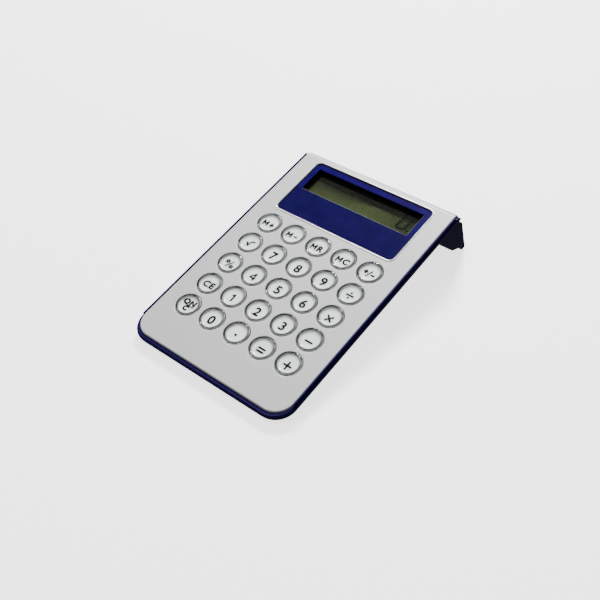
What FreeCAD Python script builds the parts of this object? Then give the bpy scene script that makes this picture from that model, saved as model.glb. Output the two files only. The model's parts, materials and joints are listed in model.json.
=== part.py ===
import FreeCAD, Part

# Desk calculator with round clear keys, built as a parametric assembly of separate pieces.
# Every piece is modelled in the slab's own frame: X 0, Y 0 is the middle of the keypad's centre key,
# Z 0 is the top of the face plate, +X points right and +Y points back. At the end the whole set is tipped
# by the tilt angle, so that it stands on its feet, and moved so that the ground is Z 0.

import math
import os
import re

import Sketcher
from FreeCAD import Placement, Rotation, Vector

doc = FreeCAD.newDocument("desk_calculator")

# Driving dimensions, in millimetres and degrees. A depth is measured down from the face plate's top.
sizes = {
    # stance
    "tilt_angle": 9.0,
    "ground_depth": 15.35,
    # face plate
    "plate_half_width": 48.5,
    "plate_front": 57.2,
    "plate_back": 87.5,
    "plate_thickness": 1.4,
    "plate_corner": 10.0,
    "plate_edge_round": 0.7,
    "plate_bend": 3.5,
    "plate_flange_depth": 5.0,
    "hole_edge_round": 0.35,
    # case
    "rim_gap": 0.15,
    "rim_drop": 0.9,
    "rim_proud": 1.7,
    "rim_proud_front": 2.5,
    "rim_edge_round": 1.4,
    "case_depth": 6.4,
    "case_round": 4.0,
    "case_back_round": 7.0,
    "case_seat": 1.45,
    "case_inside_half_width": 46.6,
    "case_inside_front": 56.0,
    "floor_top": 5.2,
    "belly_half_width": 41.0,
    "belly_front": 51.0,
    "belly_back": 71.0,
    "belly_depth": 7.4,
    "belly_wall": 1.2,
    "belly_inside_back": 72.4,
    # rear leg
    "leg_half_width": 49.4,
    "leg_root": 3.0,
    "leg_low_round": 5.0,
    "leg_front": 69.0,
    "leg_front_depth": 5.2,
    "leg_low": 79.0,
    "leg_low_depth": 20.6,
    "leg_belly": 83.2,
    "leg_belly_depth": 23.2,
    "leg_slant": 57.0,
    "lip_front": 86.6,
    "lip_front_depth": 24.2,
    "lip_end": 88.3,
    "lip_end_depth": 28.2,
    "leg_back": 89.2,
    "leg_back_depth": 8.5,
    "leg_tip": 90.9,
    "leg_tip_depth": 28.6,
    # keys
    "pitch_across": 16.4,
    "pitch_along": 16.0,
    "key_hole_radius": 6.95,
    "key_radius": 6.6,
    "key_proud": 0.9,
    "key_rim_round": 0.55,
    "dish_edge_radius": 5.75,
    "dish_floor_radius": 4.9,
    "dish_depth": 1.25,
    "dish_sag": 0.1,
    "dish_bend": 1.2,
    "dish_lip_round": 0.2,
    "key_flange_radius": 7.4,
    "key_flange_top": 1.6,
    "key_bottom": 2.3,
    "legend_radius": 5.4,
    "legend_recess": 0.2,
    # keypad membrane
    "sheet_half_width": 40.2,
    "sheet_half_length": 40.0,
    "sheet_top": 3.8,
    "sheet_bottom": 4.3,
    "dome_top": 2.15,
    "dome_top_radius": 2.8,
    "dome_slope": 40.0,
    "dome_inside_radius": 2.2,
    "dome_ceiling": 3.0,
    "pill_radius": 1.6,
    "pill_bottom": 3.4,
    # display
    "panel_half_width": 37.8,
    "panel_front": 43.0,
    "panel_back": 81.9,
    "panel_corner": 2.8,
    "panel_gap": 0.2,
    "panel_drop": 0.3,
    "panel_flange": 1.6,
    "panel_flange_bottom": 2.25,
    "window_half_width": 34.3,
    "window_front": 61.4,
    "window_back": 77.7,
    "window_wall": 1.0,
    "window_bottom": 3.0,
    "window_edge": 0.25,
    "lens_bottom": 3.5,
    "film_thickness": 0.2,
    "glass_top": 3.75,
    "glass_bottom": 5.15,
    "glass_half_width": 36.0,
    "glass_front": 59.6,
    "glass_back": 79.3,
    "tray_floor": 5.4,
    "tray_bottom": 6.15,
    "tray_wall": 1.2,
    "tray_gap": 0.25,
    # circuit board
    "board_half_width": 39.4,
    "board_front": 49.4,
    "board_back": 57.8,
    "board_top": 4.3,
    "board_bottom": 5.3,
    # posts and screws
    "post_across": 43.9,
    "post_front": 46.0,
    "post_middle": 8.0,
    "post_back": 57.0,
    "post_radius": 2.25,
    "pilot_radius": 0.8,
    "board_post_across": 24.6,
    "board_post_along": 24.0,
    "board_post_radius": 1.9,
    "screw_radius": 0.72,
    "screw_head_radius": 1.7,
    "screw_head_height": 0.55,
    # battery and its door
    "cell_along": 82.6,
    "cell_depth": 12.0,
    "cell_radius": 5.2,
    "cell_length": 44.5,
    "bay_half_length": 27.0,
    "bay_wall": 1.2,
    "contact_thickness": 0.3,
    "leaf_thickness": 0.25,
    "leaf_width": 5.0,
    "leaf_base": 3.5,
    "leaf_pad": 2.5,
    "door_start": 4.0,
    "door_end": 17.4,
    "door_half_width": 29.0,
    "door_thickness": 1.2,
    "door_rebate": 1.35,
    "door_gap": 0.2,
    "door_lip": 1.0,
    "door_pin_radius": 0.45,
    "door_pin_length": 1.2,
    "door_pin_gap": 0.05,
    # feet
    "foot_across": 30.0,
    "foot_along": 44.0,
    "foot_radius": 4.5,
    "rear_foot_width": 2.2,
}

sheet = doc.addObject("Spreadsheet::Sheet", "Sizes")
for row, (name, value) in enumerate(sizes.items(), 1):
    sheet.set(f"A{row}", name)
    sheet.set(f"B{row}", str(value))
    sheet.setAlias(f"B{row}", name)
doc.recompute()


def size(name):
    """Read one size from the sheet as a plain number."""
    return float(getattr(sheet, name))


def linked(formula):
    """Turn a formula of size names into an expression that reads the sheet."""
    return re.sub(r"[a-z_]{4,}", lambda m: f"Sizes.{m[0]}" if m[0] in sizes else m[0], str(formula))


def bind(thing, prop, formula):
    thing.setExpression(prop, linked(formula))


# ---------------------------------------------------------------- ways of making pieces
pieces = {}


def new_body(label, x=0.0, y=0.0, z=0.0, turn=None):
    """Start a sub-part: its label names its file, and its place is in the slab's frame."""
    body = doc.addObject("PartDesign::Body", label)
    body.Label = label
    pieces[label] = (body, Placement(Vector(x, y, z), turn or Rotation()))
    return body


def new_sketch(body, name, role, lift=None):
    """Start a sketch on one of the body's own origin planes, lifted along the plane's normal."""
    sketch = body.newObject("Sketcher::SketchObject", f"{body.Name}_{name}")
    plane = next(f for f in body.Origin.OriginFeatures if f.Role == role)
    sketch.AttachmentSupport = (plane, [""])
    sketch.MapMode = "FlatFace"
    if lift is not None:
        bind(sketch, ".AttachmentOffset.Base.z", lift)
    return sketch


def pin_point(sketch, element, vertex, spot, x, y):
    """Hold a sketch point at formulas x and y, measured from the sketch's origin."""
    for kind, start, formula in (("DistanceX", spot.x, x), ("DistanceY", spot.y, y)):
        index = sketch.addConstraint(Sketcher.Constraint(kind, -1, 1, element, vertex, start))
        bind(sketch, f"Constraints[{index}]", formula)


def add_outline(sketch, corners):
    """Draw a closed outline of straight sides whose corners are pairs of formulas."""
    count = len(corners)
    first = sketch.GeometryCount
    ring = [Vector(9 * math.cos(6.28 * k / count), 9 * math.sin(6.28 * k / count), 0) for k in range(count)]
    for k in range(count):
        sketch.addGeometry(Part.LineSegment(ring[k], ring[(k + 1) % count]), False)
    for k in range(count):
        here, after = first + k, first + (k + 1) % count
        sketch.addConstraint(Sketcher.Constraint("Coincident", here, 2, after, 1))
    for k, (x, y) in enumerate(corners):
        pin_point(sketch, first + k, 1, ring[k], x, y)
    return sketch


def add_shoulder(sketch, far, top, radius):
    """Draw the waste outside a quarter round that joins height top to the upright far."""
    reach, height, bend = size(far), -size(top.strip("-")), size(radius)
    middle = Vector(reach - bend, height - bend, 0)
    spots = [
        (f"{far} - {radius}", "1", Vector(middle.x, 1, 0)),
        (f"{far} - {radius}", top, Vector(middle.x, height, 0)),
        (far, f"{top} - {radius}", Vector(reach, middle.y, 0)),
        (f"{far} + 2", f"{top} - {radius}", Vector(reach + 2, middle.y, 0)),
        (f"{far} + 2", "1", Vector(reach + 2, 1, 0)),
    ]
    arc = Part.ArcOfCircle(Part.Circle(middle, Vector(0, 0, 1), bend), 0, math.pi / 2)
    sketch.addGeometry(Part.LineSegment(spots[0][2], spots[1][2]), False)
    sketch.addGeometry(arc, False)
    for k in (2, 3, 4):
        sketch.addGeometry(Part.LineSegment(spots[k][2], spots[(k + 1) % 5][2]), False)
    for link in ((0, 2, 1, 2), (1, 1, 2, 1), (2, 2, 3, 1), (3, 2, 4, 1), (4, 2, 0, 1)):
        sketch.addConstraint(Sketcher.Constraint("Coincident", *link))
    for element, vertex, (x, y, spot) in zip((0, 0, 2, 3, 4), (1, 2, 1, 1, 1), spots):
        pin_point(sketch, element, vertex, spot, x, y)
    index = sketch.addConstraint(Sketcher.Constraint("Radius", 1, bend))
    bind(sketch, f"Constraints[{index}]", radius)
    return sketch


def add_circles(sketch, centres, radius):
    """Draw one circle at each centre, a pair of formulas."""
    for k, (x, y) in enumerate(centres):
        spot = Vector(3.0 * k, 1.0, 0)
        element = sketch.addGeometry(Part.Circle(spot, Vector(0, 0, 1), 1.0), False)
        pin_point(sketch, element, 3, spot, x, y)
        index = sketch.addConstraint(Sketcher.Constraint("Radius", element, 1.0))
        bind(sketch, f"Constraints[{index}]", radius)
    return sketch


def box_corners(x, front, back):
    """Four corners of a rectangle from -x to x across and from front to back."""
    return [(f"-({x})", front), (x, front), (x, back), (f"-({x})", back)]


def settle(feature):
    """Recompute, and stop at once if the feature failed."""
    doc.recompute()
    if "Invalid" in feature.State or "Error" in feature.State or feature.Shape.isNull():
        raise RuntimeError(f"{feature.Name} failed: {feature.State}")


def pad(body, name, sketch, length, up=True, both_ways=False):
    feature = body.newObject("PartDesign::Pad", f"{body.Name}_{name}")
    feature.Profile = sketch
    bind(feature, "Length", length)
    feature.Reversed = not up
    if both_ways:
        feature.SideType = "Symmetric"
    settle(feature)
    return feature


def pocket(body, name, sketch, length, up=False, both_ways=False):
    """Cut a pocket, and make sure that it took something away."""
    before = body.Shape.Volume
    feature = body.newObject("PartDesign::Pocket", f"{body.Name}_{name}")
    feature.Profile = sketch
    bind(feature, "Length", length)
    feature.Reversed = up
    if both_ways:
        feature.SideType = "Symmetric"
    settle(feature)
    if not body.Shape.Volume < before - 0.001:
        raise RuntimeError(f"{body.Label}: pocket {name} cuts nothing")
    return feature


def revolve(body, name, sketch):
    """Turn a sketch on the XZ plane once round the body's Z axis."""
    feature = body.newObject("PartDesign::Revolution", f"{body.Name}_{name}")
    feature.Profile = sketch
    feature.ReferenceAxis = (sketch, ["V_Axis"])
    feature.Angle = 360
    settle(feature)
    return feature


def round_edges(body, name, radius, wanted, kind="Fillet"):
    """Round the edges of the body so far whose middle point passes the test, or chamfer them."""
    base = body.Tip
    chosen = [
        f"Edge{k}"
        for k, edge in enumerate(base.Shape.Edges, 1)
        if wanted(edge, edge.valueAt((edge.FirstParameter + edge.LastParameter) / 2))
    ]
    if not chosen:
        raise RuntimeError(f"{body.Label}: no edge for {name}")
    feature = body.newObject(f"PartDesign::{kind}", f"{body.Name}_{name}")
    feature.Base = (base, chosen)
    bind(feature, "Radius" if kind == "Fillet" else "Size", radius)
    settle(feature)
    return feature


def near(a, b, margin=0.02):
    return abs(a - b) < margin


def along(edge, axis):
    """True when the edge is a straight line along the axis."""
    if not isinstance(edge.Curve, (Part.Line, Part.LineSegment)):
        return False
    way = edge.Vertexes[-1].Point - edge.Vertexes[0].Point
    return way.Length > 0.01 and near(abs(way.normalize().dot(axis)), 1, 1e-6)


ACROSS, BACK, UP = Vector(1, 0, 0), Vector(0, 1, 0), Vector(0, 0, 1)


def slab_body(label, half_width, front, back, top, bottom, corner=None, drilled=None):
    """A flat piece: a rectangle from top to bottom depth, with round corners and holes if asked."""
    body = new_body(label)
    sketch = new_sketch(body, "outline", "XY_Plane", f"-({top})")
    add_outline(sketch, box_corners(half_width, front, back))
    pad(body, "sheet", sketch, f"({bottom}) - ({top})", up=False)
    if corner:
        round_edges(body, "corners", corner, lambda edge, middle: along(edge, UP))
    for k, (centres, radius) in enumerate(drilled or []):
        holes = new_sketch(body, f"holes_{k}", "XY_Plane", f"-({top})")
        add_circles(holes, centres, radius)
        pocket(body, f"drilled_{k}", holes, f"({bottom}) - ({top})")
    return body


key_columns = range(-2, 3)
key_rows = range(-2, 3)
key_centres = [(f"{c} * pitch_across", f"{r} * pitch_along") for r in key_rows for c in key_columns]
case_post_rows = ("-post_front", "post_middle", "post_back")
case_posts = [(f"{side} * post_across", y) for y in case_post_rows for side in (-1, 1)]
board_posts = [(f"{i} * board_post_across", f"{j} * board_post_along") for i in (-1, 1) for j in (-1, 1)]


# ---------------------------------------------------------------- face plate
def make_top_plate():
    """Face plate with a rear flange bent down, key holes, display opening and screw posts."""
    body = new_body("top_plate")
    side = new_sketch(body, "side", "YZ_Plane")
    inner = "plate_back - plate_thickness"
    add_outline(side, [
        ("-plate_front", "0"),
        ("plate_back", "0"),
        ("plate_back", "-plate_flange_depth"),
        (inner, "-plate_flange_depth"),
        (inner, "-plate_thickness"),
        ("-plate_front", "-plate_thickness"),
    ])
    pad(body, "sheet", side, "2 * plate_half_width", both_ways=True)
    back, front, thick = size("plate_back"), size("plate_front"), size("plate_thickness")
    round_edges(body, "bend", "plate_bend",
                lambda edge, mid: along(edge, ACROSS) and near(mid.y, back) and near(mid.z, 0))
    round_edges(body, "inner_bend", "plate_bend - plate_thickness",
                lambda edge, mid: along(edge, ACROSS) and near(mid.y, back - thick) and near(mid.z, -thick))
    round_edges(body, "front_corners", "plate_corner",
                lambda edge, mid: along(edge, UP) and near(mid.y, -front))
    round_edges(body, "soft_edge", "plate_edge_round",
                lambda edge, mid: near(mid.z, 0) and not (along(edge, ACROSS) and mid.y > 0))
    window = new_sketch(body, "display_opening", "XY_Plane")
    add_outline(window, box_corners("panel_half_width", "panel_front", "panel_back"))
    pocket(body, "display_cut", window, "plate_thickness")
    half, low, high = size("panel_half_width"), size("panel_front"), size("panel_back")
    round_edges(body, "display_corners", "panel_corner",
                lambda edge, mid: along(edge, UP) and near(abs(mid.x), half) and low - 1 < mid.y < high + 1)
    round_edges(body, "display_edge", "hole_edge_round",
                lambda edge, mid: near(mid.z, 0) and abs(mid.x) < half + 0.1 and low - 0.1 < mid.y < high + 0.1)
    holes = new_sketch(body, "key_holes", "XY_Plane")
    add_circles(holes, key_centres, "key_hole_radius")
    pocket(body, "key_holes_cut", holes, "plate_thickness")
    round_edges(body, "key_hole_edges", "hole_edge_round",
                lambda edge, mid: isinstance(edge.Curve, Part.Circle) and near(mid.z, 0) and edge.Length > 40)
    for name, centres, radius, end in (
        ("case_posts", case_posts, "post_radius", "floor_top"),
        ("board_posts", board_posts, "board_post_radius", "board_top"),
    ):
        posts = new_sketch(body, name, "XY_Plane", "-plate_thickness")
        add_circles(posts, centres, radius)
        pad(body, f"{name}_pad", posts, f"{end} - plate_thickness", up=False)
        pilots = new_sketch(body, f"{name}_pilots", "XY_Plane", f"-{end}")
        add_circles(pilots, centres, "pilot_radius")
        pocket(body, f"{name}_bored", pilots, f"{end} - plate_thickness - 0.1", up=True)
    return body


# ---------------------------------------------------------------- lower case
def slant(start, depth):
    """A point on the leg's slanted front: start along it, and depth into the wall."""
    y = f"leg_front + ({start}) * cos(leg_slant) + ({depth}) * sin(leg_slant)"
    z = f"-leg_front_depth - ({start}) * sin(leg_slant) + ({depth}) * cos(leg_slant)"
    return y, z


def make_lower_case():
    """Blue case: a shallow tub with a rounded rim, a belly, and the rear leg that holds the cell."""
    body = new_body("lower_case")
    outer = "plate_half_width + rim_proud"
    outline = new_sketch(body, "outline", "XY_Plane", "-rim_drop")
    add_outline(outline, box_corners(outer, "-plate_front - rim_proud_front", "leg_back"))
    pad(body, "tub", outline, "case_depth - rim_drop", up=False)
    rim_x = size("plate_half_width") + size("rim_proud")
    front = -size("plate_front") - size("rim_proud_front")
    back, deep, top = size("leg_back"), size("case_depth"), -size("rim_drop")
    seat = new_sketch(body, "plate_seat", "XY_Plane", "-rim_drop")
    add_outline(seat, box_corners("plate_half_width + rim_gap", "-plate_front - rim_gap", "leg_back + 1"))
    pocket(body, "plate_seat_cut", seat, "case_seat - rim_drop")
    inside = new_sketch(body, "inside", "XY_Plane", "-case_seat")
    add_outline(inside, box_corners("case_inside_half_width", "-case_inside_front", "leg_front"))
    pocket(body, "inside_cut", inside, "floor_top - case_seat")
    round_edges(body, "inside_corners", "plate_corner - 2",
                lambda edge, mid: along(edge, UP) and near(mid.y, -size("case_inside_front")))
    round_edges(body, "seat_corners", "plate_corner + rim_gap",
                lambda edge, mid: along(edge, UP) and near(mid.y, -size("plate_front") - size("rim_gap")))
    round_edges(body, "front_corners", "plate_corner + rim_proud",
                lambda edge, mid: along(edge, UP) and near(mid.y, front))
    corner = size("plate_corner") + size("rim_proud")
    round_edges(body, "rim_round", "rim_edge_round",
                lambda edge, mid: near(mid.z, top) and (
                    near(abs(mid.x), rim_x) or near(mid.y, front)
                    or isinstance(edge.Curve, Part.Circle) and near(edge.Curve.Radius, corner)))
    round_edges(body, "belly_round", "case_round",
                lambda edge, mid: near(mid.z, -deep) and not near(mid.y, back))
    shoulder = new_sketch(body, "back_shoulder", "YZ_Plane")
    add_shoulder(shoulder, "leg_back", "-rim_drop", "case_back_round")
    pocket(body, "back_shoulder_cut", shoulder, "3 * plate_half_width", both_ways=True)

    leg = new_sketch(body, "leg_side", "YZ_Plane")
    add_outline(leg, [
        ("leg_front", "-leg_root"),
        ("leg_back - 4", "-leg_root"),
        ("leg_back", "-leg_back_depth"),
        ("leg_tip", "-leg_tip_depth"),
        ("lip_end", "-lip_end_depth"),
        ("lip_front", "-lip_front_depth"),
        ("leg_belly", "-leg_belly_depth"),
        ("leg_low", "-leg_low_depth"),
        ("leg_front", "-leg_front_depth"),
    ])
    pad(body, "leg", leg, "2 * leg_half_width", both_ways=True)
    round_edges(body, "leg_bottom_round", "leg_low_round",
                lambda edge, mid: along(edge, ACROSS) and near(mid.y, size("leg_low")))
    belly = new_sketch(body, "belly", "XY_Plane", "-case_depth + 1")
    add_outline(belly, box_corners("belly_half_width", "-belly_front", "belly_back"))
    pad(body, "belly_pad", belly, "belly_depth - case_depth + 1", up=False)
    flange = new_sketch(body, "flange_seat", "XY_Plane", "-rim_drop")
    add_outline(flange, box_corners("plate_half_width + rim_gap", "plate_back - plate_bend", "leg_back + 1"))
    pocket(body, "flange_seat_cut", flange, "plate_flange_depth + rim_gap - rim_drop")
    well = new_sketch(body, "well", "XY_Plane", "-case_seat")
    add_outline(well, box_corners("belly_half_width - belly_wall", "-belly_front + belly_wall", "belly_inside_back"))
    pocket(body, "well_cut", well, "belly_depth - belly_wall - case_seat")
    cavity = new_sketch(body, "leg_inside", "YZ_Plane")
    add_outline(cavity, [
        (slant("-3", "2")[0], "-case_seat"),
        ("plate_back - 1.5", "-case_seat"),
        ("plate_back - 1.5", "-plate_flange_depth - rim_gap"),
        ("leg_back - 1.5", "-leg_back_depth"),
        ("leg_back - 0.9", "-leg_low_depth - 1"),
        ("leg_belly", "-leg_low_depth - 1"),
        slant("17.4", "2"),
        slant("-1", "2"),
    ])
    pocket(body, "leg_inside_cut", cavity, "2 * case_inside_half_width", both_ways=True)

    for k, side in enumerate((-1, 1)):
        lift = f"{side} * (bay_half_length + bay_wall / 2)"
        wall = new_sketch(body, f"bay_wall_{k}", "YZ_Plane", lift)
        add_outline(wall, [
            slant("2.4", "1"),
            ("leg_back - 1.2", "-leg_front_depth - 1.6"),
            ("leg_back - 0.5", "-leg_low_depth - 1.5"),
            ("leg_belly", "-leg_low_depth - 1.5"),
            slant("17.6", "1"),
        ])
        pad(body, f"bay_wall_pad_{k}", wall, "bay_wall", both_ways=True)

    opening = new_sketch(body, "door_opening", "YZ_Plane")
    add_outline(opening, [
        slant("door_start + door_lip", "-1"),
        slant("door_end - door_lip", "-1"),
        slant("door_end - door_lip", "3"),
        slant("door_start + door_lip", "3"),
    ])
    pocket(body, "door_opening_cut", opening, "2 * bay_half_length", both_ways=True)
    rebate = new_sketch(body, "door_rebate", "YZ_Plane")
    add_outline(rebate, [
        slant("door_start - door_gap", "-1"),
        slant("door_end + door_gap", "-1"),
        slant("door_end + door_gap", "door_rebate"),
        slant("door_start - door_gap", "door_rebate"),
    ])
    pocket(body, "door_rebate_cut", rebate, "2 * (door_half_width + door_gap)", both_ways=True)
    sockets = new_sketch(body, "door_sockets", "YZ_Plane")
    add_circles(sockets, [slant("door_start + door_thickness / 2", "door_thickness / 2")],
                "door_pin_radius + door_pin_gap")
    pocket(body, "door_sockets_bored", sockets, "2 * (door_half_width + door_pin_length + 0.3)", both_ways=True)

    wells = new_sketch(body, "screw_wells", "XY_Plane", "-case_depth")
    add_circles(wells, case_posts, "screw_head_radius + 0.25")
    pocket(body, "screw_wells_cut", wells, "screw_head_height + 0.05", up=True)
    passes = new_sketch(body, "screw_passes", "XY_Plane", "-case_depth")
    add_circles(passes, case_posts, "pilot_radius + 0.15")
    pocket(body, "screw_passes_bored", passes, "case_depth - floor_top + 0.1", up=True)
    return body


# ---------------------------------------------------------------- keys
legends = [
    ["on_clear", "0", "point", "equals", "plus"],
    ["clear_entry", "1", "2", "3", "minus"],
    ["percent", "4", "5", "6", "multiply"],
    ["square_root", "7", "8", "9", "divide"],
    ["memory_plus", "memory_minus", "memory_recall", "memory_clear", "sign"],
]


def make_key(label, column, row):
    """One clear cap: a dished button with a round rim, and a flange that the face plate holds down."""
    body = new_body(f"key_{label}", column * size("pitch_across"), row * size("pitch_along"))
    half = new_sketch(body, "half", "XZ_Plane")
    add_outline(half, [
        ("0", "key_proud - dish_depth"),
        ("dish_floor_radius", "key_proud - dish_depth + dish_sag"),
        ("dish_edge_radius", "key_proud"),
        ("key_radius", "key_proud"),
        ("key_radius", "-key_flange_top"),
        ("key_flange_radius", "-key_flange_top"),
        ("key_flange_radius", "-key_bottom"),
        ("legend_radius", "-key_bottom"),
        ("legend_radius", "-key_bottom + legend_recess"),
        ("0", "-key_bottom + legend_recess"),
    ])
    revolve(body, "turned", half)
    radius, proud = size("key_radius"), size("key_proud")
    round_edges(body, "rim", "key_rim_round",
                lambda edge, mid: near(edge.BoundBox.ZMin, proud) and near(edge.BoundBox.XMax, radius))
    lip, floor = size("dish_edge_radius"), size("dish_floor_radius")
    round_edges(body, "lip", "dish_lip_round",
                lambda edge, mid: near(edge.BoundBox.ZMin, proud) and near(edge.BoundBox.XMax, lip))
    round_edges(body, "dish", "dish_bend", lambda edge, mid: near(edge.BoundBox.XMax, floor))
    return body


# ---------------------------------------------------------------- keypad membrane and board
def make_membrane():
    """Rubber sheet with one hollow dome under each key."""
    body = slab_body("keypad_membrane", "sheet_half_width", "-sheet_half_length", "sheet_half_length",
                     "sheet_top", "sheet_bottom", "3", [(board_posts, "board_post_radius + 0.4")])
    domes = new_sketch(body, "domes", "XY_Plane", "-dome_top")
    add_circles(domes, key_centres, "dome_top_radius")
    raised = pad(body, "domes_pad", domes, "sheet_top - dome_top", up=False)
    bind(raised, "TaperAngle", "dome_slope")
    doc.recompute()
    hollows = new_sketch(body, "hollows", "XY_Plane", "-sheet_bottom")
    add_circles(hollows, key_centres, "dome_inside_radius")
    pocket(body, "hollows_cut", hollows, "sheet_bottom - dome_ceiling", up=True)
    return body


def make_pills():
    """Carbon pills inside the domes, which close the contacts on the board."""
    body = new_body("contact_pills")
    spots = new_sketch(body, "spots", "XY_Plane", "-dome_ceiling")
    add_circles(spots, key_centres, "pill_radius")
    pad(body, "discs", spots, "pill_bottom - dome_ceiling", up=False)
    return body


def make_blob():
    """Epoxy dome over the chip, on the underside of the board."""
    body = new_body("processor_blob", 8.0, 49.0, -size("board_bottom"))
    half = new_sketch(body, "half", "XZ_Plane")
    add_outline(half, [("0", "0"), ("5.5", "0"), ("5.2", "-0.35"), ("3.6", "-0.65"), ("0", "-0.8")])
    revolve(body, "dome", half)
    return body


def make_board_parts():
    """Small parts on the board's top, between the keypad and the display."""
    capacitor = new_body("board_capacitor")
    foot = new_sketch(capacitor, "foot", "XY_Plane", "-board_top")
    add_outline(foot, [("-30", "47"), ("-26.5", "47"), ("-26.5", "49.8"), ("-30", "49.8")])
    pad(capacitor, "block", foot, "1.6")
    round_edges(capacitor, "soft", "0.2", lambda edge, mid: mid.z > -size("board_top") + 1.5)
    resistors = new_body("board_resistors")
    rows = new_sketch(resistors, "rows", "XY_Plane", "-board_top")
    for k in range(3):
        x = -20 + 4 * k
        add_outline(rows, [(f"{x}", "47.5"), (f"{x + 2}", "47.5"), (f"{x + 2}", "48.8"), (f"{x}", "48.8")])
    pad(resistors, "chips", rows, "0.55")


def make_screws(label, centres, seat, length):
    """A group of pan head screws that point up from the depth of their seat."""
    body = new_body(label)
    heads = new_sketch(body, "heads", "XY_Plane", f"-({seat})")
    add_circles(heads, centres, "screw_head_radius")
    pad(body, "head_pad", heads, "screw_head_height", up=False)
    edge_depth = size_of(seat) + size("screw_head_height")
    round_edges(body, "head_round", "0.2",
                lambda edge, mid: isinstance(edge.Curve, Part.Circle) and near(mid.z, -edge_depth))
    shanks = new_sketch(body, "shanks", "XY_Plane", f"-({seat})")
    add_circles(shanks, centres, "screw_radius")
    pad(body, "shank_pad", shanks, length)
    slots = new_sketch(body, "slots", "XY_Plane", f"-({seat}) - screw_head_height")
    for x, y in centres:
        add_outline(slots, cross_corners(x, y, "0.85", "0.18"))
    pocket(body, "slots_cut", slots, "0.3", up=True)
    return body


def cross_corners(x, y, arm, half):
    """Twelve corners of a plus-shaped driver recess round x, y."""
    steps = [(arm, half), (half, half), (half, arm)]
    corners = []
    for quarter in range(4):
        for a, b in steps if quarter % 2 == 0 else steps[::-1]:
            sign_x, sign_y = ((1, 1), (-1, 1), (-1, -1), (1, -1))[quarter]
            corners.append((f"{x} + {sign_x} * {a}", f"{y} + {sign_y} * {b}"))
    return corners


def size_of(formula):
    """Work out a sum of size names and numbers, such as floor_top + 0.6."""
    total, sign = 0.0, 1
    for word in formula.split():
        if word in "+-":
            sign = 1 if word == "+" else -1
        else:
            total += sign * (size(word) if word in sizes else float(word))
    return total


# ---------------------------------------------------------------- display
def make_bezel():
    """Blue panel that fills the plate's opening, with a bonding flange and walls round the window."""
    body = new_body("display_bezel")
    face = new_sketch(body, "face", "XY_Plane", "-panel_drop")
    add_outline(face, box_corners("panel_half_width - panel_gap", "panel_front + panel_gap",
                                  "panel_back - panel_gap"))
    pad(body, "face_pad", face, "panel_flange_bottom - panel_drop", up=False)
    round_edges(body, "corners", "panel_corner - panel_gap", lambda edge, mid: along(edge, UP))
    round_edges(body, "face_edge", "panel_drop", lambda edge, mid: near(mid.z, -size("panel_drop")))
    flange = new_sketch(body, "flange", "XY_Plane", "-plate_thickness")
    add_outline(flange, box_corners("panel_half_width + panel_flange", "panel_front - panel_flange",
                                    "panel_back + panel_flange"))
    pad(body, "flange_pad", flange, "panel_flange_bottom - plate_thickness", up=False)
    skirt = new_sketch(body, "skirt", "XY_Plane", "-panel_flange_bottom")
    add_outline(skirt, box_corners("window_half_width + window_wall", "window_front - window_wall",
                                   "window_back + window_wall"))
    pad(body, "skirt_pad", skirt, "window_bottom - panel_flange_bottom", up=False)
    window = new_sketch(body, "window", "XY_Plane", "-panel_drop")
    add_outline(window, box_corners("window_half_width", "window_front", "window_back"))
    pocket(body, "window_cut", window, "window_bottom - panel_drop")
    half = size("window_half_width")
    low, high = size("window_front"), size("window_back")
    round_edges(body, "window_edge", "window_edge",
                lambda edge, mid: near(mid.z, -size("panel_drop")) and abs(mid.x) < half + 0.1
                and low - 0.1 < mid.y < high + 0.1)
    return body


def make_display_stack():
    """Lens, films and glass of the display, from the top down."""
    slab_body("display_lens", "glass_half_width", "glass_front + 0.2", "glass_back",
              "window_bottom", "lens_bottom")
    slab_body("display_polarizer", "glass_half_width - 0.6", "glass_front + 2.4", "glass_back - 0.6",
              "glass_top - film_thickness", "glass_top")
    slab_body("display_glass", "glass_half_width", "glass_front", "glass_back", "glass_top", "glass_bottom")
    slab_body("display_reflector", "glass_half_width - 0.4", "glass_front + 0.4", "glass_back - 0.4",
              "glass_bottom", "glass_bottom + film_thickness")


def make_tray():
    """Holder that backs the display glass; its front side is open for the ribbon."""
    outer = "glass_half_width + tray_gap"
    body = slab_body("display_tray", f"{outer} + tray_wall", "glass_front - tray_gap",
                     "glass_back + tray_gap + tray_wall", "window_bottom + 0.05", "tray_bottom")
    inside = new_sketch(body, "inside", "XY_Plane", "-window_bottom")
    add_outline(inside, box_corners(outer, "glass_front - 2", "glass_back + tray_gap"))
    pocket(body, "inside_cut", inside, "tray_floor - window_bottom")
    return body


def make_ribbon():
    """Heat-sealed film that joins the glass's ledge to the edge of the board."""
    body = new_body("display_ribbon")
    side = new_sketch(body, "side", "YZ_Plane")
    add_outline(side, [
        ("glass_front + 2.1", "-glass_top"),
        ("glass_front + 2.1", "-glass_top + 0.15"),
        ("glass_front - 0.6", "-glass_top + 0.15"),
        ("board_back - 0.8", "-board_top + 0.15"),
        ("board_back - 4.2", "-board_top + 0.15"),
        ("board_back - 4.2", "-board_top"),
        ("board_back - 0.7", "-board_top"),
        ("glass_front - 0.5", "-glass_top"),
    ])
    pad(body, "film", side, "60", both_ways=True)
    return body


# ---------------------------------------------------------------- battery, its contacts and door
cell_start = -20.5
contact_face = "bay_half_length - contact_thickness"


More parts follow.
